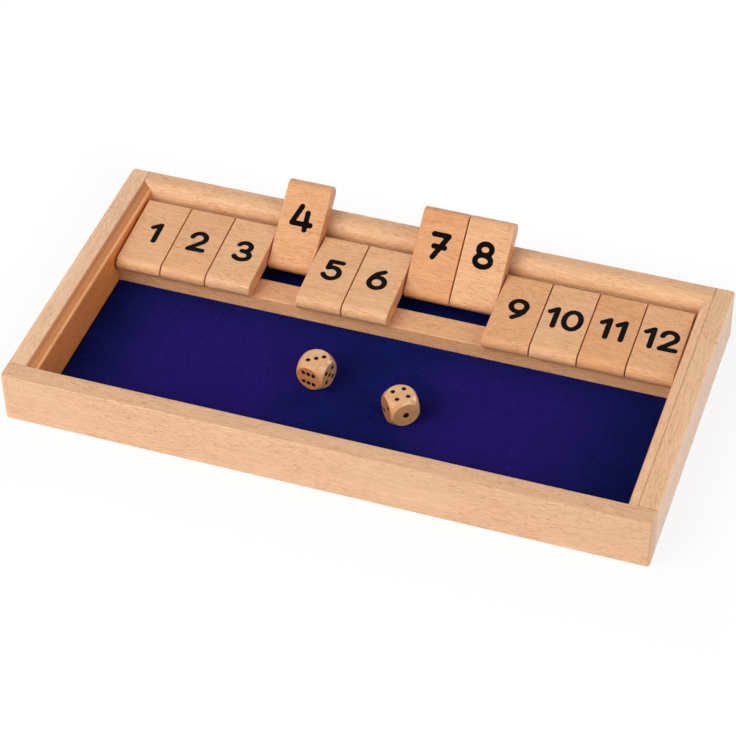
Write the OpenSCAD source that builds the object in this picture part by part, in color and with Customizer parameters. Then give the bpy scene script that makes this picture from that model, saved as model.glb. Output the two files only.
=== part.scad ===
// Shut the box game: a shallow beech case with a felt dice tray, twelve numbered
// tiles that turn on one steel rod, and two dice. The origin is the middle of the
// case's underside. X runs right, Y to the back and Z up, in millimetres.

/* [Tiles] */
// Width of one tile, along the rod
tile_w = 25.4; // [20:0.1:32]
// Thickness of a tile
tile_t = 9.4; // [8:0.1:10.5]
// Length of a tile, from its rod end to its tip
tile_len = 51.3; // [44:0.1:60]
// Distance from the rod's axis to a tile's rod end
rod_end = 12.3; // [9:0.1:13]
// Gap between neighbouring tiles
tile_gap = 0.6; // [0.3:0.1:1.5]
// Gap between the row of tiles and the case's inner walls
row_gap = 1.2; // [0.4:0.1:2]
// Radius of the rod-end corner that is underneath when a tile lies flat
heel_r = 4.4; // [1:0.1:4.4]
// Radius of the rod-end corner that is on top when a tile lies flat
brow_r = 3; // [0.3:0.1:3.6]
// Easing of a tile's long edges and of the edges round its tip
tile_ease = 0.6; // [0.2:0.1:1.2]
// Numbers of the tiles that are raised
raised_tiles = [4, 7, 8]; // [1:1:12]

/* [Rod] */
// Diameter of the rod
rod_d = 3; // [2:0.1:4]
// Gap round the rod in a tile's bore
bore_gap = 0.05; // [0.03:0.01:0.1]
// Gap round the rod in the strips and the side rails
seat_gap = 0.03; // [0.02:0.01:0.1]
// Depth of the rod's axis below the rim
rod_drop = 10; // [8:0.1:11]
// Length of rod that each side rail holds
rod_seat = 6; // [3:0.5:8]

/* [Case] */
// Height of the case
case_h = 30; // [28:0.5:45]
// Thickness of the front rail
front_rail_t = 10.8; // [8:0.1:16]
// Thickness of each side rail
side_rail_t = 10.2; // [9:0.1:16]
// Width of the back rail's flat top
back_flat = 6; // [4:0.1:12]
// Radius of the back rail's inner shoulder, which raised tiles lean on
shoulder_r = 7; // [5:0.1:8]
// Thickness of each inner strip
strip_t = 5.4; // [4:0.1:9]
// Slope of an inner strip's top, down from its rail toward the tray
strip_slope = 27; // [5:1:40]
// Radius of the corner between an inner strip's slope and its wall
strip_r = 2.4; // [1:0.1:3.6]
// Depth of an inner strip's top edge below the rim
strip_drop = 0.3; // [0:0.1:2]
// Radius of the case's four upright corners
corner_r = 2; // [1.5:0.1:5]
// Easing of the case's outer edges
edge_r = 1; // [0.4:0.1:1.4]
// Easing of the rails' inner top edges
inner_ease = 0.6; // [0.2:0.1:1]

/* [Dice tray] */
// Depth of the dice tray, from the front rail to the tile rest
tray_d = 105.4; // [80:0.2:160]
// Thickness of the base panel
base_t = 3; // [2:0.1:5]
// Width of the rebate in the rails that holds the base panel
rebate_w = 5; // [3:0.1:6]
// Gap round the base panel in its rebate
panel_gap = 0.2; // [0.1:0.1:0.5]
// Thickness of the felt
felt_t = 0.6; // [0.4:0.1:1.5]
// Gap round the felt's edge
felt_gap = 0.3; // [0.1:0.1:1]

/* [Tile rest] */
// Depth of the tile rest, front to back
rest_w = 15.6; // [8:0.1:18]
// Height of the tile rest above the felt
rest_h = 8.8; // [6:0.1:9.5]
// Easing of the tile rest's top edges
rest_ease = 0.8; // [0.3:0.1:2]
// Length of a lying tile's tip that reaches past the rest
tip_overhang = 4.3; // [2:0.1:10]
// Gap left where a tile comes to rest
stop_gap = 0.2; // [0.1:0.05:0.5]
// Gap between the back rail and the circle that a tile's rod end sweeps
sweep_gap = 2.9; // [1.5:0.1:6]

/* [Dice] */
// Size of a die across its flat faces
die_size = 16; // [12:0.5:18]
// Diameter of the ball that rounds a die, as a multiple of its size
die_round = 1.34; // [1.25:0.01:1.5]
// Distance from the middle of a face to its outer pips
pip_step = 3.05; // [2.4:0.05:3.4]
// Diameter of a pip
pip_d = 2.5; // [1.6:0.1:2.9]
// Diameter of the single pip on the face of one
ace_d = 3.3; // [2:0.1:4]
// Depth of a pip
pip_depth = 0.35; // [0.2:0.05:0.6]
// First die: place from the tray's middle, right and back, then its turn
die_1_place = [-25.7, 9.2, -12.5]; // [-45:0.1:45]
// Second die: place from the tray's middle, right and back, then its turn
die_2_place = [24.7, -3.0, 39.1]; // [-45:0.1:45]

/* [Hidden] */

$fn = 64;
// How far a cutting shape reaches past the surface that it cuts
past = 1;

// Width of the case, which follows from the row of tiles
tile_count = 12;
tile_pitch = tile_w + tile_gap;
row_w = tile_count * tile_pitch - tile_gap;
inner_w = row_w + 2 * row_gap;
side_in_x = inner_w / 2 + strip_t;
case_w = 2 * (side_in_x + side_rail_t);

// Depth of the case, from the front rail to the back rail
tile_reach = tile_len - rod_end;
rest_to_rod = tile_reach - tip_overhang;
rod_to_back = norm([rod_end, tile_t / 2]) + sweep_gap;
back_rail_t = back_flat + shoulder_r;
case_d = front_rail_t + tray_d + rest_to_rod + rod_to_back + back_rail_t;
front_y = -case_d / 2;
back_y = case_d / 2;
tray_front_y = front_y + front_rail_t;
rest_front_y = tray_front_y + tray_d;
rod_y = rest_front_y + rest_to_rod;
back_in_y = rod_y + rod_to_back;
tray_mid_y = tray_front_y + tray_d / 2;

// Heights
felt_top = base_t + felt_t;
rest_top = felt_top + rest_h;
strip_top = case_h - strip_drop;
rod_z = case_h - rod_drop;

// Angle between a tile's middle plane and the line from the rod to the centre of
// a rounded edge that the tile lies against
function lay_angle(to_edge, edge_r) = asin((tile_t / 2 + stop_gap + edge_r) / norm(to_edge));

// Slope of a lying tile, tip down, on the rest's front edge
rest_edge = [rest_to_rod - rest_ease, rod_z - rest_top + rest_ease];
lie_slope = atan2(rest_edge[1], rest_edge[0]) - lay_angle(rest_edge, rest_ease);

// Slope of a raised tile, tip up, on the back rail's shoulder
shoulder = [rod_to_back + shoulder_r, case_h - shoulder_r - rod_z];
lean_slope = atan2(shoulder[1], shoulder[0]) + lay_angle(shoulder, shoulder_r);

// Turn of a tile from lying to raised
swing = 180 + lie_slope - lean_slope;
echo(case_w = case_w, case_d = case_d, rod_y = rod_y, rod_z = rod_z);
echo(lie_slope = lie_slope, lean_slope = lean_slope, swing = swing);

// Numbers on a die's faces: top, front, right, back, left, bottom
die_1_faces = [3, 6, 5, 1, 2, 4];
die_2_faces = [4, 1, 5, 6, 2, 3];

// A flat shape in Y and Z, drawn out along X and centred there
module along_x(length) {
    rotate([90, 0, 90]) linear_extrude(length, center = true) children();
}

// A flat shape in X and Z, drawn out along Y from one place to another
module along_y(from, to) {
    translate([0, to, 0]) rotate([90, 0, 0]) linear_extrude(to - from) children();
}

// A rectangle with four round corners, centred
module round_rect(w, h, r) {
    square([w - 2 * r, h], center = true);
    square([w, h - 2 * r], center = true);
    for (x = [-1, 1], y = [-1, 1])
        translate([x * (w / 2 - r), y * (h / 2 - r)]) circle(r);
}

// The quarter of a disc that lies right of its centre and above it
module quarter_disc(r) {
    intersection() {
        circle(r);
        square(r);
    }
}

// A rectangle from the origin to [w, h] whose far top corner is round
module shouldered(w, h, r) {
    square([w - r, h]);
    square([w, h - r]);
    translate([w - r, h - r]) quarter_disc(r);
}

// The case's outer form: a block with round upright corners and eased edges
module outer_form() {
    translate([0, 0, case_h / 2]) {
        along_x(case_w - 2 * corner_r) round_rect(case_d, case_h, edge_r);
        along_y(front_y + corner_r, back_y - corner_r) round_rect(case_w, case_h, edge_r);
        for (x = [-1, 1], y = [-1, 1])
            translate([x * (case_w / 2 - corner_r), y * (case_d / 2 - corner_r), 0])
                barrel(corner_r, case_h, edge_r);
    }
}

// An upright cylinder with eased ends, centred
module barrel(r, h, ease) {
    rotate_extrude() intersection() {
        round_rect(2 * r, h, ease);
        translate([0, -h / 2]) square([r, h]);
    }
}

// A slab as thick as the base panel that reaches under the rails, and starts
// below the underside where it cuts their rebate
module panel_slab(reach, below) {
    x = side_in_x + reach;
    y0 = tray_front_y - reach;
    y1 = back_in_y + reach;
    translate([-x, y0, -below]) cube([2 * x, y1 - y0, base_t + below]);
}

// The cut in the rails that holds the base panel
module rebate() {
    panel_slab(rebate_w, past);
}

// A rod hole through anything from one side of the case to the other
module rod_bore(half_length, gap) {
    translate([-half_length, rod_y, rod_z]) rotate([0, 90, 0])
        cylinder(h = 2 * half_length, d = rod_d + 2 * gap);
}

// Half the rod's length: it ends inside the side rails
rod_half = side_in_x + rod_seat;

module front_rail() {
    color("BurlyWood") difference() {
        intersection() {
            along_x(case_w) translate([front_y, 0]) shouldered(front_rail_t, case_h, inner_ease);
            outer_form();
        }
        rebate();
    }
}

// The back rail's shape in Y and Z
module back_section() {
    translate([back_y, 0]) mirror([1, 0]) shouldered(back_rail_t, case_h, shoulder_r);
}

module back_rail() {
    color("BurlyWood") difference() {
        intersection() {
            along_x(2 * side_in_x) back_section();
            outer_form();
        }
        rebate();
    }
}

module right_rail() {
    color("BurlyWood") difference() {
        intersection() {
            along_y(tray_front_y, back_y)
                translate([case_w / 2, 0]) mirror([1, 0]) shouldered(side_rail_t, case_h, inner_ease);
            outer_form();
        }
        rebate();
        rod_bore(rod_half + seat_gap, seat_gap);
    }
}

module left_rail() {
    mirror([1, 0, 0]) right_rail();
}

// A strip's shape, drawn from its rail at the origin: the top slopes down to a
// round corner, where the wall begins
module strip_section() {
    h = strip_top - base_t;
    run = strip_t - strip_r + strip_r * sin(strip_slope);
    slope_end = h - run * tan(strip_slope);
    wall_h = slope_end - strip_r * cos(strip_slope);
    polygon([[0, 0], [strip_t, 0], [strip_t, wall_h], [run, slope_end], [0, h]]);
    translate([strip_t - strip_r, wall_h]) quarter_disc(strip_r);
}

// A strip runs from the front rail and is cut to the back rail's round shoulder
module right_strip() {
    color("Peru") difference() {
        along_y(tray_front_y, back_y - back_flat)
            translate([side_in_x, base_t]) mirror([1, 0]) strip_section();
        along_x(case_w) back_section();
        rod_bore(rod_half, seat_gap);
    }
}

module left_strip() {
    mirror([1, 0, 0]) right_strip();
}

module base_panel() {
    color("Tan") panel_slab(rebate_w - panel_gap, 0);
}

module felt() {
    x = inner_w / 2 - felt_gap;
    y0 = tray_front_y + felt_gap;
    y1 = back_in_y - felt_gap;
    color("MidnightBlue") translate([-x, y0, base_t]) cube([2 * x, y1 - y0, felt_t]);
}

module tile_rest() {
    color("BurlyWood") translate([0, rest_front_y, felt_top])
        along_x(inner_w) {
            square([rest_w, rest_h - rest_ease]);
            translate([rest_ease, 0]) square([rest_w - 2 * rest_ease, rest_h]);
            for (y = [rest_ease, rest_w - rest_ease])
                translate([y, rest_h - rest_ease]) circle(rest_ease);
        }
}

module axle_rod() {
    color("Silver") rod_bore(rod_half, 0);
}

// A tile's shape in Y and Z about the rod's axis: the tip is round and points to
// the front, and the two rod-end corners have their own radii
module tile_section() {
    nose = tile_reach - tile_t / 2;
    translate([-nose, 0]) circle(d = tile_t);
    translate([-nose, -tile_t / 2]) square([nose + rod_end - heel_r, tile_t]);
    translate([0, -tile_t / 2 + heel_r]) square([rod_end, tile_t - heel_r - brow_r]);
    square([rod_end - brow_r, tile_t / 2]);
    translate([rod_end - heel_r, -tile_t / 2 + heel_r]) circle(heel_r);
    translate([rod_end - brow_r, tile_t / 2 - brow_r]) circle(brow_r);
}

// A tile lying level, with its bore on the X axis
module tile_blank() {
    nose = tile_reach - tile_t / 2;
    difference() {
        intersection() {
            along_x(tile_w) tile_section();
            union() {
                along_y(-nose, rod_end + past) round_rect(tile_w, tile_t, tile_ease);
                translate([0, -nose, 0]) rotate([0, 90, 0]) barrel(tile_t / 2, tile_w, tile_ease);
            }
        }
        rotate([0, 90, 0]) cylinder(h = tile_w + 2 * past, d = rod_d + 2 * bore_gap, center = true);
    }
}

function is_raised(number) = len(search(number, raised_tiles)) > 0;

// Tile 1 is at the left. A raised tile has turned back over the rod
module tile(number) {
    x = (number - (tile_count + 1) / 2) * tile_pitch;
    turn = is_raised(number) ? lie_slope - swing : lie_slope;
    color("BurlyWood") translate([x, rod_y, rod_z]) rotate([turn, 0, 0]) tile_blank();
}

// Places of a face's pips, in steps from its middle
function pips(count) =
    count == 1 ? [[0, 0]] :
    count == 2 ? [[-1, -1], [1, 1]] :
    count == 3 ? [[-1, -1], [0, 0], [1, 1]] :
    count == 6 ? [for (x = [-1, 0, 1], y = [-1, 1]) [x, y]] :
    concat(count == 5 ? [[0, 0]] : [], [for (x = [-1, 1], y = [-1, 1]) [x, y]]);

// The hollows of one face, which looks up and lies half a die above the origin
module pip_hollows(count) {
    rim = (count == 1 ? ace_d : pip_d) / 2;
    ball = (rim * rim + pip_depth * pip_depth) / (2 * pip_depth);
    for (place = pips(count))
        translate([place[0] * pip_step, place[1] * pip_step, die_size / 2 + ball - pip_depth])
            sphere(ball);
}

// Faces are numbered in the order top, front, right, back, left, bottom
module die(faces, place) {
    color("Ivory") translate([place[0], tray_mid_y + place[1], felt_top + die_size / 2])
        rotate([0, 0, place[2]]) difference() {
            intersection() {
                cube(die_size, center = true);
                sphere(d = die_size * die_round);
            }
            pip_hollows(faces[0]);
            for (side = [1:4])
                rotate([90, 0, 90 * (side - 1)]) pip_hollows(faces[side]);
            rotate([180, 0, 0]) pip_hollows(faces[5]);
        }
}

front_rail();
back_rail();
left_rail();
right_rail();
left_strip();
right_strip();
base_panel();
felt();
tile_rest();
axle_rod();
for (number = [1:tile_count])
    tile(number);
die(die_1_faces, die_1_place);  // die_1
die(die_2_faces, die_2_place);  // die_2
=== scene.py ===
"""Shut the box game: wood, felt, printed numerals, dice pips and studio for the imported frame."""

import math
import random

import bmesh
import bpy
from mathutils import Euler, Matrix, Vector


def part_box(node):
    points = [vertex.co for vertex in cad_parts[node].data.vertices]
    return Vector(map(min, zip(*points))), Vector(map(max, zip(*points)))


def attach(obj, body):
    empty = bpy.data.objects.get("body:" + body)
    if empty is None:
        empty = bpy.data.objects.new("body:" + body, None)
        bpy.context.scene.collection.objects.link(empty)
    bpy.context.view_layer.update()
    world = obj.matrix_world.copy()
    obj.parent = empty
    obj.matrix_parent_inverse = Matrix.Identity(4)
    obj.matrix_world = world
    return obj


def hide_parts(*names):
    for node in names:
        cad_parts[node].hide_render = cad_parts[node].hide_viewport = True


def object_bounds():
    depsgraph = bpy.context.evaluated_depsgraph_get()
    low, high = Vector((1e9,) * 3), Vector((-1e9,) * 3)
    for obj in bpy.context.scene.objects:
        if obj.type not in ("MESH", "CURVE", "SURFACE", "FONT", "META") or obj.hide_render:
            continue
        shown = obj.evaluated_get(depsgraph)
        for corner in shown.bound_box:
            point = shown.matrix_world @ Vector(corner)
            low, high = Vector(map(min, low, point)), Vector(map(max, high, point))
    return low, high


bl_info = {
    "name": "Shut the Box Dressing",
    "version": (1, 0, 0),
    "blender": (4, 5, 0),
    "location": "View3D > Sidebar > Shut the Box",
    "description": "Dresses the framed shut the box game and sets up its studio",
    "category": "Object",
}

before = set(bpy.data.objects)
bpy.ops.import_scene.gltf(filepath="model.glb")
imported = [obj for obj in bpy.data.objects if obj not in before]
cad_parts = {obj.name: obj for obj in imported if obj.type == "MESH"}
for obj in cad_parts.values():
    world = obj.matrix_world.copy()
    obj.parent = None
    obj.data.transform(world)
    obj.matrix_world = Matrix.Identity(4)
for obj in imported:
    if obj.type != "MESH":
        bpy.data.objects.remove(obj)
CAD_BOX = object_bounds()

MM = 0.001
TILE_COUNT = 12
RAISED_TILES = (4, 7, 8)
# How deep the colour of each tile's wood is, from tile 1: 0 is the palest
TILE_DEPTHS = (0.3, 0.48, 0.0, 0.95, 0.15, 0.0, 1.2, 0.15, 0.72, 0.15, 1.0, 0.4)
TILE_NAMES = [f"tile_{n}" for n in range(1, TILE_COUNT + 1)]

# Thickness of a tile and the two slopes that tiles rest at
TILE_T = 9.4
LIE_SLOPE = 4.52385
LEAN_SLOPE = 38.1785
# Distance from the rod to the middle of a numeral, on the play face and on the reverse
PLAY_FACE_REACH = 13.0
REVERSE_REACH = 17.6

# Dice: faces in the order top, front, right, back, left, bottom, then each die's turn
DIE_SIZE = 16.0
DIE_FACES = {"die_1": (3, 6, 5, 1, 2, 4), "die_2": (4, 1, 5, 6, 2, 3)}
DIE_TURNS = {"die_1": -12.5, "die_2": 39.1}
PIP_STEP = 3.05
PIP_D = 2.5
ACE_D = 3.3
PIP_DEPTH = 0.35

# The photograph's camera, in millimetres and degrees
CAMERA_PLACE = (326.57, -935.97, 926.73)
CAMERA_AIM = (-3.24, 0.28, 3.6)
CAMERA_ROLL = -1.04
CAMERA_LENS = 125.23


def srgb(red, green, blue):
    """Linear colour with alpha from an 8-bit screen colour."""

    def linear(level):
        level /= 255
        return level / 12.92 if level <= 0.04045 else ((level + 0.055) / 1.055) ** 2.4

    return (linear(red), linear(green), linear(blue), 1.0)


def tinted(colour, factors):
    """A colour with its red, green and blue each multiplied."""
    return tuple(channel * factor for channel, factor in zip(colour, factors)) + (1.0,)


def shade(colour, factor):
    """The same colour made lighter or darker."""
    return tinted(colour, (factor, factor, factor))


def darker(colour, factor):
    """A darker brown: green and blue fall faster than red, as they do in oiled wood."""
    return tinted(colour, (factor, factor ** 1.5, factor ** 2))


def orange(colour):
    """The colour of a wood's end grain."""
    return tinted(colour, (1.0, 0.8, 0.6))


def fleck_brown(colour):
    """The colour of the short rays that show as flecks in beech."""
    return tinted(colour, (0.68, 0.44, 0.3))


def warmer(colour):
    return tinted(colour, (1.0, 0.93, 0.84))


def violet(colour):
    return tinted(colour, (1.5, 0.95, 1.08))


class Wire:
    """An output of a node. Arithmetic on it adds Math nodes to its tree."""

    def __init__(self, net, socket):
        self.net = net
        self.socket = socket

    def math(self, operation, *others, clamp=False):
        settings = {"operation": operation, "use_clamp": clamp}
        return self.net.wire("ShaderNodeMath", settings, dict(enumerate((self, *others))))

    def __add__(self, other):
        return self.math("ADD", other)

    def __sub__(self, other):
        return self.math("SUBTRACT", other)

    def __rsub__(self, other):
        return self * -1.0 + other

    def __mul__(self, other):
        return self.math("MULTIPLY", other)

    __radd__ = __add__
    __rmul__ = __mul__

    def clamped(self):
        return self.math("ADD", 0.0, clamp=True)

    def size(self):
        return self.math("ABSOLUTE")

    def larger(self, other):
        return self.math("MAXIMUM", other)

    def rise(self, low, high):
        """0 below low, 1 above high and a smooth step between; high below low turns it round."""
        settings = {"interpolation_type": "SMOOTHSTEP"}
        return self.net.wire("ShaderNodeMapRange", settings, {0: self, 1: low, 2: high})


class Net:
    """The node tree of a material or of the world."""

    def __init__(self, owner):
        owner.use_nodes = True
        self.tree = owner.node_tree
        self.tree.nodes.clear()

    def add(self, kind, settings=None, sockets=None):
        """A node of this type, with its settings and then its sockets' values or links."""
        node = self.tree.nodes.new(kind)
        for name, value in (settings or {}).items():
            setattr(node, name, value)
        for name, value in (sockets or {}).items():
            if isinstance(value, Wire):
                self.tree.links.new(value.socket, node.inputs[name])
            else:
                node.inputs[name].default_value = value
        return node

    def wire(self, kind, settings=None, sockets=None, output=0):
        return Wire(self, self.add(kind, settings, sockets).outputs[output])

    def mix(self, factor, first, second, blend="MIX"):
        """Colour mix; the sockets are numbered because their names repeat."""
        settings = {"data_type": "RGBA", "blend_type": blend}
        return self.wire("ShaderNodeMix", settings, {0: factor, 6: first, 7: second}, 2)

    def vector(self, operation, first, second):
        return self.wire("ShaderNodeVectorMath", {"operation": operation}, {0: first, 1: second})

    def join(self, x, y, z):
        return self.wire("ShaderNodeCombineXYZ", None, {0: x, 1: y, 2: z})

    def split(self, vector):
        node = self.add("ShaderNodeSeparateXYZ", None, {0: vector})
        return [Wire(self, output) for output in node.outputs]

    def noise(self, vector, detail=2.0, roughness=0.5):
        sockets = {"Vector": vector, "Scale": 1.0, "Detail": detail, "Roughness": roughness}
        return self.wire("ShaderNodeTexNoise", None, sockets)

    def turned(self, vector, turn):
        """A vector as seen from a piece that is turned by this many degrees about Z."""
        sockets = {"Vector": vector, "Angle": -math.radians(turn)}
        return self.wire("ShaderNodeVectorRotate", {"rotation_type": "Z_AXIS"}, sockets)

    def place(self, seed, turn=0.0):
        """The surface point in millimetres, moved so that no two pieces share a pattern."""
        draw = random.Random(seed)
        away = tuple(draw.uniform(-500, 500) for _ in range(3))
        point = self.turned(self.wire("ShaderNodeTexCoord", output=3), turn)
        return self.vector("ADD", self.vector("MULTIPLY", point, (1 / MM,) * 3), away)

    def facing(self, turn=0.0):
        """How much the surface faces along X, Y and Z, each from 0 to 1."""
        normal = self.turned(self.wire("ShaderNodeTexCoord", output=1), turn)
        return [part.size() for part in self.split(normal)]

    def edge(self, radius):
        """1 on edges and corners, 0 on flats, from a slightly rounded normal."""
        geometry = self.wire("ShaderNodeNewGeometry", output=1)
        rounded = self.wire("ShaderNodeBevel", {"samples": 4}, {"Radius": radius * MM})
        turn = self.wire("ShaderNodeVectorMath", {"operation": "DOT_PRODUCT"},
                         {0: geometry, 1: rounded}, 1)
        return (1.0 - turn).rise(0.01, 0.16)

    def surface(self, sockets, height=None, depth=0.02):
        """The Principled shader with an optional bump of this depth in millimetres."""
        if height is not None:
            sockets["Normal"] = self.wire(
                "ShaderNodeBump", None, {"Strength": 1.0, "Distance": depth * MM, "Height": height})
        shader = self.wire("ShaderNodeBsdfPrincipled", None, sockets)
        self.add("ShaderNodeOutputMaterial", None, {"Surface": shader})


def wood(name, seed, colour, grain="X", end_colour=None, flecks=0.8, coat=0.3, turn=0.0,
         seam=None, seam_reach=0.6, slope_shade=0.0, gloss=0.0):
    """Lacquered beech: growth bands, streaky fibres, short brown flecks and darker end grain.

    A seam is a distance from the case's middle, to the left and right, where a joint is painted dark: the
    joint line, and painted shade in the groove beside it.
    The ledge value paints the sloping top darker, as painted shade, and puts a painted highlight on the
    rounded corner below it."""
    material = bpy.data.materials.new(name)
    net = Net(material)
    parts = net.split(net.place(seed, turn))
    along_index = "XYZ".index(grain)
    along = parts[along_index]
    side, deep = (parts[i] for i in range(3) if i != along_index)
    end = net.facing(turn)[along_index].rise(0.75, 0.95)

    wander = net.noise(net.join(along * 0.018, side * 0.03, deep * 0.03), 1.0)
    side = side + (wander - 0.5) * 9.0
    deep = deep + (wander - 0.5) * 5.0
    bands = net.noise(net.join(along * 0.011, side * 0.16, deep * 0.16), 3.0, 0.62)
    streaks = net.noise(net.join(along * 0.06, side * 1.0, deep * 1.0), 3.0, 0.7)
    fibres = net.noise(net.join(along * 0.16, side * 1.9, deep * 1.9), 3.0, 0.75)
    marks = net.noise(net.join(along * 0.27, side * 2.1, deep * 2.1), 2.0, 0.6)
    clouds = net.noise(net.join(along * 0.03, side * 0.05, deep * 0.05), 2.0)

    fleck_mask = marks.rise(0.55, 0.66) * clouds.rise(0.22, 0.6) * (1.0 - end)
    tone = net.mix(bands.rise(0.36, 0.66) * 0.4, shade(colour, 1.1), darker(colour, 0.92))
    tone = net.mix(clouds.rise(0.3, 0.75) * 0.3, tone, warmer(colour))
    tone = net.mix(streaks.rise(0.4, 0.68) * 0.5, tone, darker(colour, 0.8))
    tone = net.mix(fibres.rise(0.38, 0.68) * 0.42, tone, darker(colour, 0.72))
    tone = net.mix(fleck_mask * flecks, tone, fleck_brown(colour))

    rings = net.noise(net.join(along * 0.02, side * 0.9, deep * 0.9), 4.0, 0.65)
    pores = net.noise(net.join(along * 0.1, side * 5.2, deep * 5.2), 1.0)
    cut = end_colour or orange(colour)
    cut_tone = net.mix(rings.rise(0.35, 0.7) * 0.5, cut, shade(cut, 0.78))
    cut_tone = net.mix(pores.rise(0.6, 0.75) * 0.5, cut_tone, shade(cut, 0.5))
    tone = net.mix(end, tone, cut_tone)

    # Painted shade along the joints: the joint line itself and the shade in the groove beside it, wider
    # where seam_reach is larger.
    if seam is not None:
        across = net.split(net.wire("ShaderNodeTexCoord", output=3))[0].size() * (1 / MM)
        joint_shade = (across - seam).size().rise(seam_reach, seam_reach / 4)
        tone = net.mix(joint_shade * (0.35 + seam_reach / 3), tone, darker(colour, 0.45))
    # Painted shade on the top, which slopes away from the light, and a broken painted highlight on the
    # rounded corner between the slope and the wall.
    if slope_shade:
        up = net.facing()[2]
        tone = net.mix(up.rise(0.83, 0.885) * slope_shade, tone, shade(colour, 0.5))
        corner_highlight = up.rise(0.3, 0.6) * up.rise(0.88, 0.8) * (0.3 + streaks.rise(0.42, 0.56) * 0.6)
        tone = net.mix(corner_highlight, tone, tinted(colour, (0.95, 1.35, 1.9)))

    # Edges a little lighter and glossier: partly wear, partly a painted highlight where the eased edges
    # catch the light.
    wear_and_sheen = net.edge(0.9)
    tone = net.mix(wear_and_sheen * 0.28, tone, shade(colour, 1.12))
    height = fibres * 0.5 - fleck_mask * 0.35 - pores.rise(0.6, 0.75) * end
    net.surface({
        "Base Color": tone,
        "Roughness": 0.34 - gloss + fibres * 0.14 + fleck_mask * 0.12 + end * 0.1 - wear_and_sheen * 0.08,
        "Coat Weight": coat,
        "Coat Roughness": 0.16,
        "IOR": 1.5,
    }, height, 0.03)
    return material


def felt_material(name, seed, colour, edge, tray):
    """Short indigo felt: a matted nap of crossing fibres, cloudy pile and pale specks of lint.

    It is more violet in the tray's left and right halves, a painted sheen over patchy tone, and navy in
    the middle; by the walls and the tile rest it is painted darker navy, as painted shade."""
    material = bpy.data.materials.new(name)
    net = Net(material)
    point = net.place(seed)
    x, y, z = net.split(point)
    clouds = net.noise(net.vector("MULTIPLY", point, (0.05, 0.07, 0.05)), 4.0, 0.6)
    patches = net.noise(net.vector("MULTIPLY", point, (0.012, 0.02, 0.02)), 2.0)
    mottle = net.noise(net.vector("MULTIPLY", point, (0.42, 0.42, 0.42)), 4.0, 0.7)
    nap = net.noise(net.vector("MULTIPLY", point, (2.6, 2.6, 2.6)), 3.0, 0.75)
    slant = net.noise(net.join((x + y) * 1.9, (x - y) * 0.55, z), 2.0, 0.6)
    cross = net.noise(net.join((x - y) * 1.9, (x + y) * 0.55, z), 2.0, 0.6)
    lint = net.noise(net.join(x * 1.1 + clouds * 6.0, y * 0.8, z), 1.0).rise(0.76, 0.82)
    dots = net.noise(net.vector("MULTIPLY", point, (1.9, 1.9, 1.9)), 0.0).rise(0.82, 0.86)
    (left, front, _), (right, back, _) = [[part / MM for part in corner] for corner in tray]
    across, deep, _ = net.split(net.vector("MULTIPLY", net.wire("ShaderNodeTexCoord", output=3),
                                           (1 / MM,) * 3))
    # Painted shade: away from the walls and the tile rest the felt shows its own tone, and near them it
    # turns to the darker wall colour, where they keep the light off it.
    open_x = across.rise(left - 5, left + 55) * across.rise(right, right - 75)
    open_y = deep.rise(front - 8, front + 38) * deep.rise(back + 10, back - 24)
    middle = open_x * open_y
    painted_wall_shade = net.mix(clouds.rise(0.32, 0.68) * 0.75, shade(edge, 0.8), shade(edge, 1.15))
    # More violet in the left and right halves: a painted sheen over patchy tone.
    wear_and_sheen = (across.size() - 88).size().rise(95, 20)
    violet_tone_and_sheen = (patches * 0.35 + clouds * 0.3 + wear_and_sheen * 0.35).rise(0.38, 0.68)
    tone = net.mix(mottle.rise(0.36, 0.66) * 0.7, shade(violet(colour), 0.76), violet(colour))
    tone = net.mix(middle * (0.04 + violet_tone_and_sheen * 0.96), painted_wall_shade, tone)
    tone = net.mix(nap.rise(0.35, 0.72) * 0.4, tone, shade(edge, 0.45))
    tone = net.mix((slant + cross).rise(0.98, 1.35) * middle * 0.35, tone, shade(colour, 1.8))
    tone = net.mix((lint * 0.2 + dots * 0.35).clamped(), tone, srgb(120, 112, 160))
    height = nap * 0.7 + slant * 0.5 + cross * 0.5 + mottle * 0.6 + lint * 0.4
    net.surface({
        "Base Color": tone,
        "Roughness": 0.86 + nap * 0.12,
        "Sheen Weight": 0.12,
        "Sheen Roughness": 0.45,
        "Sheen Tint": srgb(90, 90, 200),
        "Specular IOR Level": 0.06,
    }, height, 0.22)
    return material


def ink_material(name, seed, colour, roughness):
    """Black printing ink or paint: slightly uneven, with a satin skin."""
    material = bpy.data.materials.new(name)
    net = Net(material)
    point = net.place(seed)
    body = net.noise(net.vector("MULTIPLY", point, (0.35, 0.35, 0.35)), 3.0)
    grit = net.noise(net.vector("MULTIPLY", point, (3.1, 3.1, 3.1)), 2.0)
    tone = net.mix(body.rise(0.3, 0.7) * 0.6, shade(colour, 0.8), shade(colour, 1.5))
    tone = net.mix(grit.rise(0.55, 0.75) * 0.3, tone, shade(colour, 2.6))
    net.surface({
        "Base Color": tone,
        "Roughness": roughness + grit * 0.18,
        "Specular IOR Level": 0.05,
    }, grit, 0.008)
    return material


def steel_material(name, seed):
    """Drawn steel wire with fine scratches round and along it."""
    material = bpy.data.materials.new(name)
    net = Net(material)
    x, y, z = net.split(net.place(seed))
    drawn = net.noise(net.join(x * 0.08, y * 6.0, z * 6.0), 3.0, 0.7)
    stain = net.noise(net.join(x * 0.2, y * 0.6, z * 0.6), 3.0)
    tone = net.mix(stain.rise(0.35, 0.7), srgb(206, 206, 204), srgb(168, 166, 162))
    net.surface({
        "Base Color": tone,
        "Metallic": 1.0,
        "Roughness": 0.2 + drawn * 0.18 + stain * 0.1,
    }, drawn, 0.006)
    return material


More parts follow.
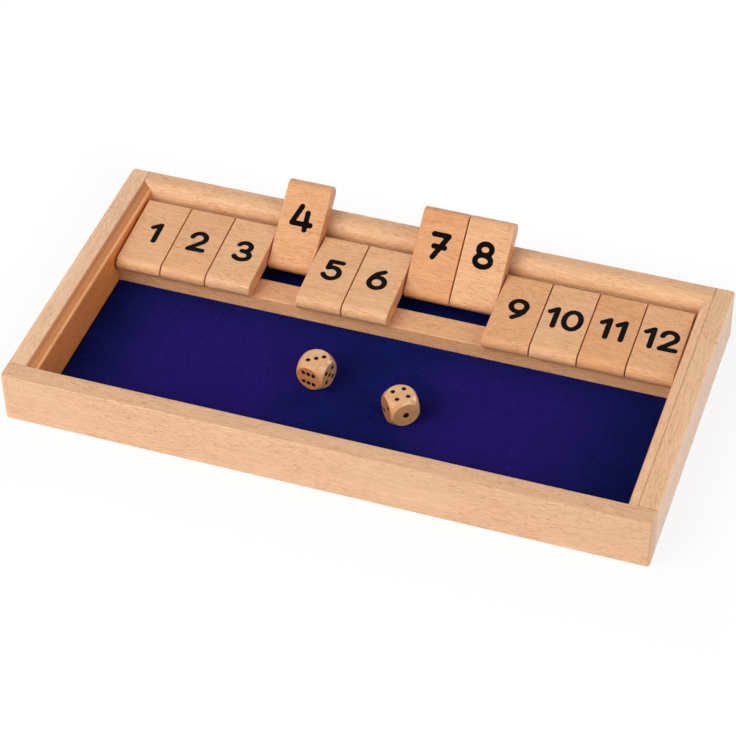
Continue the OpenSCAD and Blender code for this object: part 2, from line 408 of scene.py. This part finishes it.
def dress(node, material):
    """Gives a CAD node this material and nothing else."""
    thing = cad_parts[node]
    thing.data.materials.clear()
    thing.data.materials.append(material)


def new_piece(name, mesh, body, material):
    """A piece that rides on a body and wears the given material."""
    mesh.materials.clear()
    mesh.materials.append(material)
    piece = bpy.data.objects.new(name, mesh)
    bpy.context.scene.collection.objects.link(piece)
    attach(piece, body)
    return piece


def arc(middle, radii, start, turn, steps=20):
    """Points on an arc from a start angle, in degrees, through a turn that may be negative."""
    points = []
    for step in range(steps + 1):
        angle = math.radians(start + turn * step / steps)
        points.append((middle[0] + radii[0] * math.cos(angle),
                       middle[1] + radii[1] * math.sin(angle)))
    return points


def digit_strokes(digit):
    """Middle lines of a digit's strokes in millimetres, about its own middle."""
    return {
        "0": [arc((0, 0), (4.4, 6.3), 90, 360, 48)],
        "1": [[(-1.9, 3.6), (1.8, 6.3), (1.8, -6.35)]],
        "2": [arc((-0.4, 2.6), (3.9, 3.75), 176, -211, 30) + [(-3.9, -6.25), (4.3, -6.1)]],
        "3": [arc((0.0, 3.15), (3.6, 3.2), 158, -240, 30) + [(-0.5, 0.15)],
              arc((0.4, -3.15), (4.3, 3.25), 84, -238, 30)],
        "4": [[(-1.4, 6.35), (-5.1, -3.4), (5.4, -3.4)], [(2.7, 3.2), (2.7, -6.35)]],
        "5": [[(3.8, 6.3), (-2.8, 6.3), (-3.1, 1.5)]
              + arc((-0.3, -2.15), (4.4, 4.2), 128, -282, 34)],
        "6": [arc((-0.3, -2.3), (4.2, 4.05), 160, 360, 44)
              + [(-3.6, 1.2), (-1.7, 4.2), (1.6, 6.3)]],
        "7": [[(-3.7, 6.3), (4.5, 6.2), (-1.9, -6.35)], [(-2.4, -0.3), (3.6, -0.4)]],
        "8": [arc((-0.3, 3.2), (3.6, 3.15), -90, 360, 40), arc((-0.3, -3.1), (4.3, 3.25), 90, 360, 44)],
        "9": [arc((0.0, 2.3), (4.2, 4.05), -20, 360, 44) + [(3.3, -1.4), (1.4, -4.0), (-1.5, -6.35)]],
    }[digit]


def numeral_strokes(number):
    """The strokes of a whole number, with the digits of 10, 11 and 12 set close together."""
    shifts = {10: (-7.2, 3.9), 11: (-4.7, 3.7), 12: (-6.8, 4.4)}.get(number, (0.0,))
    strokes = []
    for digit, shift in zip(str(number), shifts):
        strokes += [[(x + shift, y) for x, y in line] for line in digit_strokes(digit)]
    return strokes


def stroke_distance(point, strokes):
    """Distance from a point to the nearest stroke."""
    best = 1e9
    px, py = point
    for line in strokes:
        for (ax, ay), (bx, by) in zip(line, line[1:]):
            dx, dy = bx - ax, by - ay
            length = dx * dx + dy * dy
            share = 0.0 if length == 0 else max(0, min(1, ((px - ax) * dx + (py - ay) * dy) / length))
            best = min(best, math.hypot(px - ax - share * dx, py - ay - share * dy))
    return best


def stroke_outline(strokes, half, step):
    """Closed outlines of all points nearer to the strokes than half, by marching squares."""
    xs = [p[0] for line in strokes for p in line]
    ys = [p[1] for line in strokes for p in line]
    left, low = min(xs) - half - 2 * step, min(ys) - half - 2 * step
    columns = int((max(xs) + half + 2 * step - left) / step) + 2
    rows = int((max(ys) + half + 2 * step - low) / step) + 2
    level = [[stroke_distance((left + i * step, low + j * step), strokes) - half
              for i in range(columns)] for j in range(rows)]

    def cross(a, b):
        """Where the outline crosses the grid line between two neighbouring grid points."""
        la, lb = level[a[1]][a[0]], level[b[1]][b[0]]
        share = la / (la - lb)
        return (left + (a[0] + share * (b[0] - a[0])) * step,
                low + (a[1] + share * (b[1] - a[1])) * step)

    following, places = {}, {}
    for j in range(rows - 1):
        for i in range(columns - 1):
            corners = [(i, j), (i + 1, j), (i + 1, j + 1), (i, j + 1)]
            inside = [level[y][x] < 0 for x, y in corners]
            entries, exits = [], []
            for k in range(4):
                a, b = corners[k], corners[(k + 1) % 4]
                if inside[k] != inside[(k + 1) % 4]:
                    key = (min(a, b), max(a, b))
                    places[key] = cross(*key)
                    (exits if inside[k] else entries).append(key)
            for start, end in zip(exits, entries if len(entries) < 2 else entries[::-1]):
                following[start] = end
    loops = []
    while following:
        key = next(iter(following))
        loop = []
        while key in following:
            loop.append(places[key])
            key = following.pop(key)
        loops.append(loop)
    return loops


def print_mesh(name, loops, thickness, rounding):
    """A thin solid from outlines with holes, its outer edges slightly rounded."""
    curve = bpy.data.curves.new(name, "CURVE")
    curve.dimensions = "2D"
    curve.fill_mode = "BOTH"
    curve.extrude = thickness / 2 - rounding
    curve.bevel_depth = rounding
    curve.bevel_resolution = 1
    curve.offset = -rounding
    for loop in loops:
        spline = curve.splines.new("POLY")
        spline.points.add(len(loop) - 1)
        for point, (x, y) in zip(spline.points, loop):
            point.co = (x, y, 0, 1)
        spline.use_cyclic_u = True
    holder = bpy.data.objects.new(name, curve)
    mesh = bpy.data.meshes.new_from_object(holder)
    bpy.data.objects.remove(holder)
    bpy.data.curves.remove(curve)
    work = bmesh.new()
    work.from_mesh(mesh)
    bmesh.ops.remove_doubles(work, verts=work.verts, dist=1e-4)
    bmesh.ops.recalc_face_normals(work, faces=work.faces)
    work.to_mesh(mesh)
    work.free()
    mesh.name = name
    return mesh


def tile_frame(number):
    """Matrix from a tile's own axes to the case: X right, Y towards the rod end, Z play face."""
    rod_low, rod_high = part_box("axle_rod")
    tile_low, tile_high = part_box(f"tile_{number}")
    place = (rod_low + rod_high) / 2
    place.x = (tile_low.x + tile_high.x) / 2
    slope = math.radians(LEAN_SLOPE if number in RAISED_TILES else LIE_SLOPE)
    forward = 1 if number in RAISED_TILES else -1
    tip = Vector((0, forward * math.cos(slope), forward * math.sin(slope)))
    right = Vector((1, 0, 0))
    up = -tip
    out = right.cross(up)
    turn = Matrix((right, up, out)).transposed()
    return Matrix.Translation(place) @ turn.to_4x4()


def lathe(work, profile, matrix, steps):
    """Adds the solid that a profile of radius and height sweeps; both ends lie on its axis."""
    rings = []
    for radius, height in profile:
        if radius == 0:
            rings.append([work.verts.new(matrix @ Vector((0, 0, height)))])
        else:
            turn = [2 * math.pi * k / steps for k in range(steps)]
            points = [(radius * math.cos(a), radius * math.sin(a), height) for a in turn]
            rings.append([work.verts.new(matrix @ Vector(point)) for point in points])
    for lower, upper in zip(rings, rings[1:]):
        for k in range(steps):
            n = (k + 1) % steps
            if len(lower) == 1:
                work.faces.new((lower[0], upper[n], upper[k]))
            elif len(upper) == 1:
                work.faces.new((lower[k], lower[n], upper[0]))
            else:
                work.faces.new((lower[k], lower[n], upper[n], upper[k]))


def pip_places(count):
    """Places of a face's pips, in steps from its middle."""
    if count == 6:
        return [(x, y) for x in (-1, 0, 1) for y in (-1, 1)]
    places = [(0, 0)] if count % 2 else []
    if count > 1:
        places += [(-1, -1), (1, 1)]
    if count > 3:
        places += [(-1, 1), (1, -1)]
    return places


class CaseSettings(bpy.types.PropertyGroup):
    rail_colour: bpy.props.FloatVectorProperty(
        name="Rails", description="Colour of the beech rails", size=4, subtype="COLOR",
        default=srgb(232, 184, 140), min=0, max=1)
    strip_colour: bpy.props.FloatVectorProperty(
        name="Strips", description="Colour of the inner strips", size=4, subtype="COLOR",
        default=srgb(238, 190, 146), min=0, max=1)
    rest_colour: bpy.props.FloatVectorProperty(
        name="Tile rest", description="Colour of the bar that the tiles lie on", size=4,
        subtype="COLOR", default=srgb(228, 173, 124), min=0, max=1)
    board_colour: bpy.props.FloatVectorProperty(
        name="Base board", description="Colour of the board under the felt", size=4,
        subtype="COLOR", default=srgb(205, 172, 132), min=0, max=1)


class FeltSettings(bpy.types.PropertyGroup):
    colour: bpy.props.FloatVectorProperty(
        name="Felt", description="Colour of the felt", size=4, subtype="COLOR",
        default=srgb(30, 23, 108), min=0, max=1)
    # The felt by the walls is painted darker navy: painted shade, where the walls keep the light off it.
    edge_colour: bpy.props.FloatVectorProperty(
        name="Felt by the walls", description="Colour of the felt where no dice rub it", size=4,
        subtype="COLOR", default=srgb(7, 21, 84), min=0, max=1)
    unevenness: bpy.props.FloatProperty(
        name="Unevenness", description="How much the glued felt rises and falls",
        default=0.04 * MM, min=0, max=0.2 * MM, unit="LENGTH")


class TileSettings(bpy.types.PropertyGroup):
    colour: bpy.props.FloatVectorProperty(
        name="Tiles", description="Colour of the beech tiles", size=4, subtype="COLOR",
        default=srgb(230, 176, 129), min=0, max=1)
    ink: bpy.props.FloatVectorProperty(
        name="Ink", description="Colour of the printed numerals", size=4, subtype="COLOR",
        default=srgb(11, 9, 9), min=0, max=1)
    stroke: bpy.props.FloatProperty(
        name="Stroke", description="Width of a numeral's strokes", default=3.05 * MM,
        min=1 * MM, max=4 * MM, unit="LENGTH")
    print_t: bpy.props.FloatProperty(
        name="Ink thickness", description="Thickness of the ink, half of it let into the wood",
        default=0.1 * MM, min=0.04 * MM, max=0.4 * MM, unit="LENGTH")


class DiceSettings(bpy.types.PropertyGroup):
    colour: bpy.props.FloatVectorProperty(
        name="Dice", description="Colour of the wooden dice", size=4, subtype="COLOR",
        default=srgb(226, 170, 114), min=0, max=1)
    paint_t: bpy.props.FloatProperty(
        name="Pip paint", description="Thickness of the paint in a pip", default=0.03 * MM,
        min=0.01 * MM, max=0.1 * MM, unit="LENGTH")


class StudioSettings(bpy.types.PropertyGroup):
    key: bpy.props.FloatProperty(
        name="Key light", description="Power of the soft light at the front left", default=24.6,
        min=0, unit="POWER")
    fill: bpy.props.FloatProperty(
        name="Fill light", description="Power of the soft light at the right", default=5.7,
        min=0, unit="POWER")
    glint: bpy.props.FloatProperty(
        name="Glints", description="Power of the highlights that the front left light makes",
        default=3.6, min=0, unit="POWER")
    rim: bpy.props.FloatProperty(
        name="Rim glints", description="Power of the highlights that come from the back right",
        default=5.0, min=0, unit="POWER")
    sky: bpy.props.FloatProperty(
        name="Room light", description="Strength of the even light from all sides", default=0.2,
        min=0)


class SHUTBOX_OT_case_wood(bpy.types.Operator):
    """Gives the rails, strips and tile rest their lacquered beech"""
    bl_idname = "shutbox.case_wood"
    bl_label = "Case wood"

    def execute(self, context):
        case = context.scene.shutbox_case
        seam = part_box("right_rail")[0].x / MM
        front = tinted(case.rail_colour, (0.91, 0.935, 0.97))
        dress("front_rail", wood("front_rail_beech", 0, front, "X"))
        dress("back_rail", wood("back_rail_beech", 1, case.rail_colour, "X", seam=seam))
        palest = tinted(case.rail_colour, (1.07, 1.16, 1.32))
        dress("left_rail", wood("left_rail_beech", 2, palest, "Y", seam=seam))
        pale = tinted(case.rail_colour, (1.03, 1.07, 1.12))
        dress("right_rail", wood("right_rail_beech", 3, pale, "Y", seam=seam))
        # The left strip is a deeper, darker copy of the strip wood: painted shade, as it faces away from
        # the light; its joint gets a wider painted shade, and its top painted shade and a painted
        # highlight.
        deep = tinted(case.strip_colour, (1.11, 0.66, 0.3))
        dress("left_strip", wood("left_strip_shaded_beech", 10, deep, "Y", seam=seam - 0.9,
                                 seam_reach=1.5, slope_shade=0.66))
        dress("right_strip", wood("right_strip_beech", 11, case.strip_colour, "Y", seam=seam))
        dress("tile_rest", wood("tile_rest_beech", 20, case.rest_colour, "X"))
        return {"FINISHED"}


class SHUTBOX_OT_base_board(bpy.types.Operator):
    """Gives the board under the felt its plain unlacquered wood"""
    bl_idname = "shutbox.base_board"
    bl_label = "Base board"

    def execute(self, context):
        colour = context.scene.shutbox_case.board_colour
        dress("base_panel", wood("base_board_wood", 30, colour, "X", coat=0.0, flecks=0.35))
        return {"FINISHED"}


class SHUTBOX_OT_axle_rod(bpy.types.Operator):
    """Gives the rod that the tiles turn on its drawn steel"""
    bl_idname = "shutbox.axle_rod"
    bl_label = "Axle rod"

    def execute(self, context):
        dress("axle_rod", steel_material("drawn_steel", 40))
        return {"FINISHED"}


class SHUTBOX_OT_felt(bpy.types.Operator):
    """Lays the felt on the base board"""
    bl_idname = "shutbox.felt"
    bl_label = "Felt"

    def execute(self, context):
        felt = context.scene.shutbox_felt
        low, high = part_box("felt")
        tray = (low, Vector((high.x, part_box("tile_rest")[0].y, high.z)))
        width, length = high.x - low.x, high.y - low.y
        columns, rows = round(width / (2 * MM)), round(length / (2 * MM))
        draw = random.Random(50)
        swells = [(draw.uniform(0.03, 0.12), draw.uniform(0, 2 * math.pi), draw.uniform(0, 2 * math.pi))
                  for _ in range(9)]

        def swell(x, y):
            """Low waves that die out at the sheet's edges."""
            total = sum(math.sin((x * math.cos(way) + y * math.sin(way)) / MM * rate * 2 + start)
                        for rate, way, start in swells)
            edge = min(x - low.x, high.x - x, y - low.y, high.y - y) / (6 * MM)
            return felt.unevenness * total / 3 * max(0, min(1, edge))

        work = bmesh.new()
        layers = []
        for height in (low.z, high.z):
            grid = []
            for j in range(rows + 1):
                for i in range(columns + 1):
                    x, y = low.x + width * i / columns, low.y + length * j / rows
                    lift = swell(x, y) - felt.unevenness if height == high.z else 0
                    grid.append(work.verts.new((x, y, height + lift)))
            layers.append(grid)
        bottom, top = layers
        span = columns + 1
        for j in range(rows):
            for i in range(columns):
                a = j * span + i
                work.faces.new([top[k] for k in (a, a + 1, a + span + 1, a + span)])
                work.faces.new([bottom[k] for k in (a + span, a + span + 1, a + 1, a)])
        rim = ([i for i in range(columns)] + [j * span + columns for j in range(rows)]
               + [rows * span + i for i in range(columns, 0, -1)] + [j * span for j in range(rows, 0, -1)])
        for a, b in zip(rim, rim[1:] + rim[:1]):
            work.faces.new((bottom[a], bottom[b], top[b], top[a]))
        mesh = bpy.data.meshes.new("felt_sheet")
        work.to_mesh(mesh)
        work.free()
        mesh.shade_smooth()
        piece = new_piece("felt_sheet", mesh, "case",
                          felt_material("indigo_felt", 51, felt.colour, felt.edge_colour, tray))
        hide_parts("felt")
        return {"FINISHED"}


class SHUTBOX_OT_tile_wood(bpy.types.Operator):
    """Gives each tile its own cut of beech, with the grain across the tile"""
    bl_idname = "shutbox.tile_wood"
    bl_label = "Tile wood"

    def execute(self, context):
        pale = tinted(context.scene.shutbox_tiles.colour, (1.03, 1.07, 1.11))
        for number, (node, depth) in enumerate(zip(TILE_NAMES, TILE_DEPTHS), 1):
            colour = tinted(pale, (1 - depth * 0.07, 1 - depth * 0.18, 1 - depth * 0.3))
            dress(node, wood(node + "_beech", 100 + number, colour, "X"))
        return {"FINISHED"}


class SHUTBOX_OT_numerals(bpy.types.Operator):
    """Prints a numeral on both faces of every tile"""
    bl_idname = "shutbox.numerals"
    bl_label = "Numerals"

    def execute(self, context):
        tiles = context.scene.shutbox_tiles
        ink = ink_material("printed_ink", 60, tiles.ink, 0.42)
        rounding = tiles.print_t / MM / 5
        for number, body in enumerate(TILE_NAMES, 1):
            loops = stroke_outline(numeral_strokes(number), tiles.stroke / MM / 2, 0.3)
            plain = print_mesh("numeral", loops, tiles.print_t / MM, rounding)
            faces = {
                "play": Matrix.Translation((0, -PLAY_FACE_REACH, TILE_T / 2)),
                "reverse": Matrix.Rotation(math.pi, 4, "X")
                @ Matrix.Translation((0, REVERSE_REACH, TILE_T / 2)),
            }
            for face, local in faces.items():
                name = f"numeral_{number}_{face}"
                mesh = plain.copy()
                mesh.name = name
                mesh.transform(tile_frame(number) @ Matrix.Scale(MM, 4) @ local)
                new_piece(name, mesh, body, ink)
            bpy.data.meshes.remove(plain)
        return {"FINISHED"}


class SHUTBOX_OT_dice_wood(bpy.types.Operator):
    """Gives both dice their glossy beech"""
    bl_idname = "shutbox.dice_wood"
    bl_label = "Dice wood"

    def execute(self, context):
        colour = tuple(context.scene.shutbox_dice.colour)
        cut = tinted(colour, (0.85, 0.6, 0.4))
        for seed, (node, grain) in enumerate((("die_1", "Y"), ("die_2", "X")), 70):
            dress(node, wood(node + "_beech", seed, colour, grain, cut, flecks=0.45, coat=0.9,
                             turn=DIE_TURNS[node], gloss=0.1))
        return {"FINISHED"}


class SHUTBOX_OT_pips(bpy.types.Operator):
    """Paints the hollow of every pip black"""
    bl_idname = "shutbox.pips"
    bl_label = "Pips"

    def execute(self, context):
        paint_t = context.scene.shutbox_dice.paint_t / MM
        paint = ink_material("pip_paint", 80, srgb(24, 20, 20), 0.3)
        turns = [Euler((0, 0, 0))] + [Euler((math.pi / 2, 0, math.pi / 2 * side)) for side in range(4)]
        turns.append(Euler((math.pi, 0, 0)))
        for die, faces in DIE_FACES.items():
            low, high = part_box(die)
            middle = Matrix.Translation((low + high) / 2)
            middle = middle @ Matrix.Rotation(math.radians(DIE_TURNS[die]), 4, "Z") @ Matrix.Scale(MM, 4)
            work = bmesh.new()
            for count, turn in zip(faces, turns):
                rim = (ACE_D if count == 1 else PIP_D) / 2
                ball = (rim * rim + PIP_DEPTH * PIP_DEPTH) / (2 * PIP_DEPTH)
                reach = math.asin(rim / ball)
                centre = DIE_SIZE / 2 + ball - PIP_DEPTH
                rings = [reach * k / 5 for k in range(6)]
                under = [(math.sin(a) * (ball + paint_t), centre - math.cos(a) * (ball + paint_t))
                         for a in rings]
                over = [(math.sin(a) * (ball - paint_t), centre - math.cos(a) * (ball - paint_t))
                        for a in reversed(rings)]
                under[0], over[-1] = (0, under[0][1]), (0, over[-1][1])
                for x, y in pip_places(count):
                    place = Matrix.Translation((x * PIP_STEP, y * PIP_STEP, 0))
                    lathe(work, under + over, middle @ turn.to_matrix().to_4x4() @ place, 20)
            bmesh.ops.recalc_face_normals(work, faces=work.faces)
            mesh = bpy.data.meshes.new(die + "_pips")
            work.to_mesh(mesh)
            work.free()
            mesh.shade_smooth()
            new_piece(die + "_pips", mesh, die, paint)
        return {"FINISHED"}


class SHUTBOX_OT_studio(bpy.types.Operator):
    """Sets up the pale floor, the soft lights and the white surroundings"""
    bl_idname = "shutbox.studio"
    bl_label = "Studio"

    def execute(self, context):
        studio = context.scene.shutbox_studio
        self.floor()
        self.lamp("key_light", (-780, -930, 960), 1400, studio.key, mirrored=False)
        self.lamp("glint_light", (-780, -930, 960), 600, studio.glint, lights=False)
        self.lamp("rim_light", (850, 820, 200), 700, studio.rim, lights=False)
        self.lamp("fill_light", (920, -400, 650), 900, studio.fill)
        self.surroundings(studio.sky)
        context.scene.view_settings.view_transform = "Standard"
        return {"FINISHED"}

    def floor(self):
        """A wide pale floor that looks white to the camera but keeps the object's shadow."""
        work = bmesh.new()
        bmesh.ops.create_grid(work, x_segments=8, y_segments=8, size=6.0)
        mesh = bpy.data.meshes.new("studio_floor")
        work.to_mesh(mesh)
        work.free()
        material = bpy.data.materials.new("studio_white")
        net = Net(material)
        seen = net.add("ShaderNodeLightPath")
        direct = Wire(net, seen.outputs["Is Camera Ray"])
        mirror = Wire(net, seen.outputs["Is Glossy Ray"])
        clear = Wire(net, seen.outputs["Is Transmission Ray"])
        paper = net.noise(net.vector("MULTIPLY", net.place(90), (0.01, 0.01, 0.01)), 2.0)
        tone = net.mix(paper, srgb(240, 240, 240), srgb(246, 246, 246))
        matte = net.wire("ShaderNodeBsdfDiffuse", None, {"Color": tone})
        glow = net.wire("ShaderNodeEmission", None, {"Color": (1, 1, 1, 1), "Strength": 1.0})
        corner = CAD_BOX[1]
        x, y, _ = net.split(net.wire("ShaderNodeTexCoord", output=3))
        away = (x.size() - corner.x).larger(y.size() - corner.y)
        factor = (direct + mirror + clear).clamped() * (0.86 + away.rise(0.005, 0.06) * 0.14)
        both = net.wire("ShaderNodeMixShader", None, {0: factor, 1: matte, 2: glow})
        net.add("ShaderNodeOutputMaterial", None, {"Surface": both})
        mesh.materials.append(material)
        floor = bpy.data.objects.new("studio_floor", mesh)
        floor.location.z = -0.0002
        bpy.context.scene.collection.objects.link(floor)

    def lamp(self, name, place, size, power, lights=True, mirrored=True):
        """A square soft light at a place in millimetres, aimed at the game.

        It lights the game, shows as a highlight in the lacquer, or both."""
        light = bpy.data.lights.new(name, "AREA")
        light.shape = "SQUARE"
        light.size = size * MM
        light.energy = power
        holder = bpy.data.objects.new(name, light)
        holder.location = Vector(place) * MM
        holder.visible_diffuse, holder.visible_glossy = lights, mirrored
        holder.rotation_euler = (-holder.location).to_track_quat("-Z", "Y").to_euler()
        bpy.context.scene.collection.objects.link(holder)

    def surroundings(self, strength):
        """An even room that is white to the camera, and in the lacquer white at the back."""
        world = bpy.data.worlds.new("studio_room")
        bpy.context.scene.world = world
        net = Net(world)
        seen = net.add("ShaderNodeLightPath")
        direct = Wire(net, seen.outputs["Is Camera Ray"])
        mirror = Wire(net, seen.outputs["Is Glossy Ray"])
        clear = Wire(net, seen.outputs["Is Transmission Ray"])
        _, back, _ = net.split(net.wire("ShaderNodeTexCoord"))
        factor = (direct + mirror * back.rise(-0.5, 0.25) + clear).clamped()
        room = net.wire("ShaderNodeBackground", None, {"Color": (1, 1, 1, 1), "Strength": strength})
        white = net.wire("ShaderNodeBackground", None, {"Color": (1, 1, 1, 1), "Strength": 1.0})
        both = net.wire("ShaderNodeMixShader", None, {0: factor, 1: room, 2: white})
        net.add("ShaderNodeOutputWorld", None, {"Surface": both})


class SHUTBOX_OT_camera(bpy.types.Operator):
    """Places the camera where the photograph was taken from"""
    bl_idname = "shutbox.camera"
    bl_label = "Camera"

    def execute(self, context):
        lens = bpy.data.cameras.new("photo_camera")
        lens.sensor_width = 36.0
        lens.lens = CAMERA_LENS
        lens.clip_start, lens.clip_end = 0.05, 50.0
        camera = bpy.data.objects.new("photo_camera", lens)
        place, aim = Vector(CAMERA_PLACE) * MM, Vector(CAMERA_AIM) * MM
        turn = (aim - place).to_track_quat("-Z", "Y").to_matrix()
        turn = turn @ Matrix.Rotation(math.radians(CAMERA_ROLL), 3, "Z")
        camera.matrix_world = Matrix.Translation(place) @ turn.to_4x4()
        context.scene.collection.objects.link(camera)
        context.scene.camera = camera
        return {"FINISHED"}


OPERATORS = (
    SHUTBOX_OT_camera, SHUTBOX_OT_studio, SHUTBOX_OT_case_wood, SHUTBOX_OT_base_board,
    SHUTBOX_OT_axle_rod, SHUTBOX_OT_felt, SHUTBOX_OT_tile_wood, SHUTBOX_OT_numerals,
    SHUTBOX_OT_dice_wood, SHUTBOX_OT_pips,
)
SETTINGS = {
    "shutbox_case": CaseSettings, "shutbox_felt": FeltSettings, "shutbox_tiles": TileSettings,
    "shutbox_dice": DiceSettings, "shutbox_studio": StudioSettings,
}


class SHUTBOX_PT_panel(bpy.types.Panel):
    """Lists the settings and the steps of the dressing"""
    bl_idname = "SHUTBOX_PT_panel"
    bl_label = "Shut the Box"
    bl_space_type = "VIEW_3D"
    bl_region_type = "UI"
    bl_category = "Shut the Box"

    def draw(self, context):
        layout = self.layout
        for group, kind in SETTINGS.items():
            box = layout.box()
            for name in kind.__annotations__:
                box.prop(getattr(context.scene, group), name)
        for operator in OPERATORS:
            layout.operator(operator.bl_idname)


CLASSES = (*SETTINGS.values(), *OPERATORS, SHUTBOX_PT_panel)


def register():
    for item in CLASSES:
        bpy.utils.register_class(item)
    for name, kind in SETTINGS.items():
        setattr(bpy.types.Scene, name, bpy.props.PointerProperty(type=kind))


def unregister():
    for name in SETTINGS:
        delattr(bpy.types.Scene, name)
    for item in reversed(CLASSES):
        bpy.utils.unregister_class(item)


def main():
    register()
    for operator in OPERATORS:
        family, name = operator.bl_idname.split(".")
        getattr(getattr(bpy.ops, family), name)()


if __name__ == "__main__":
    main()
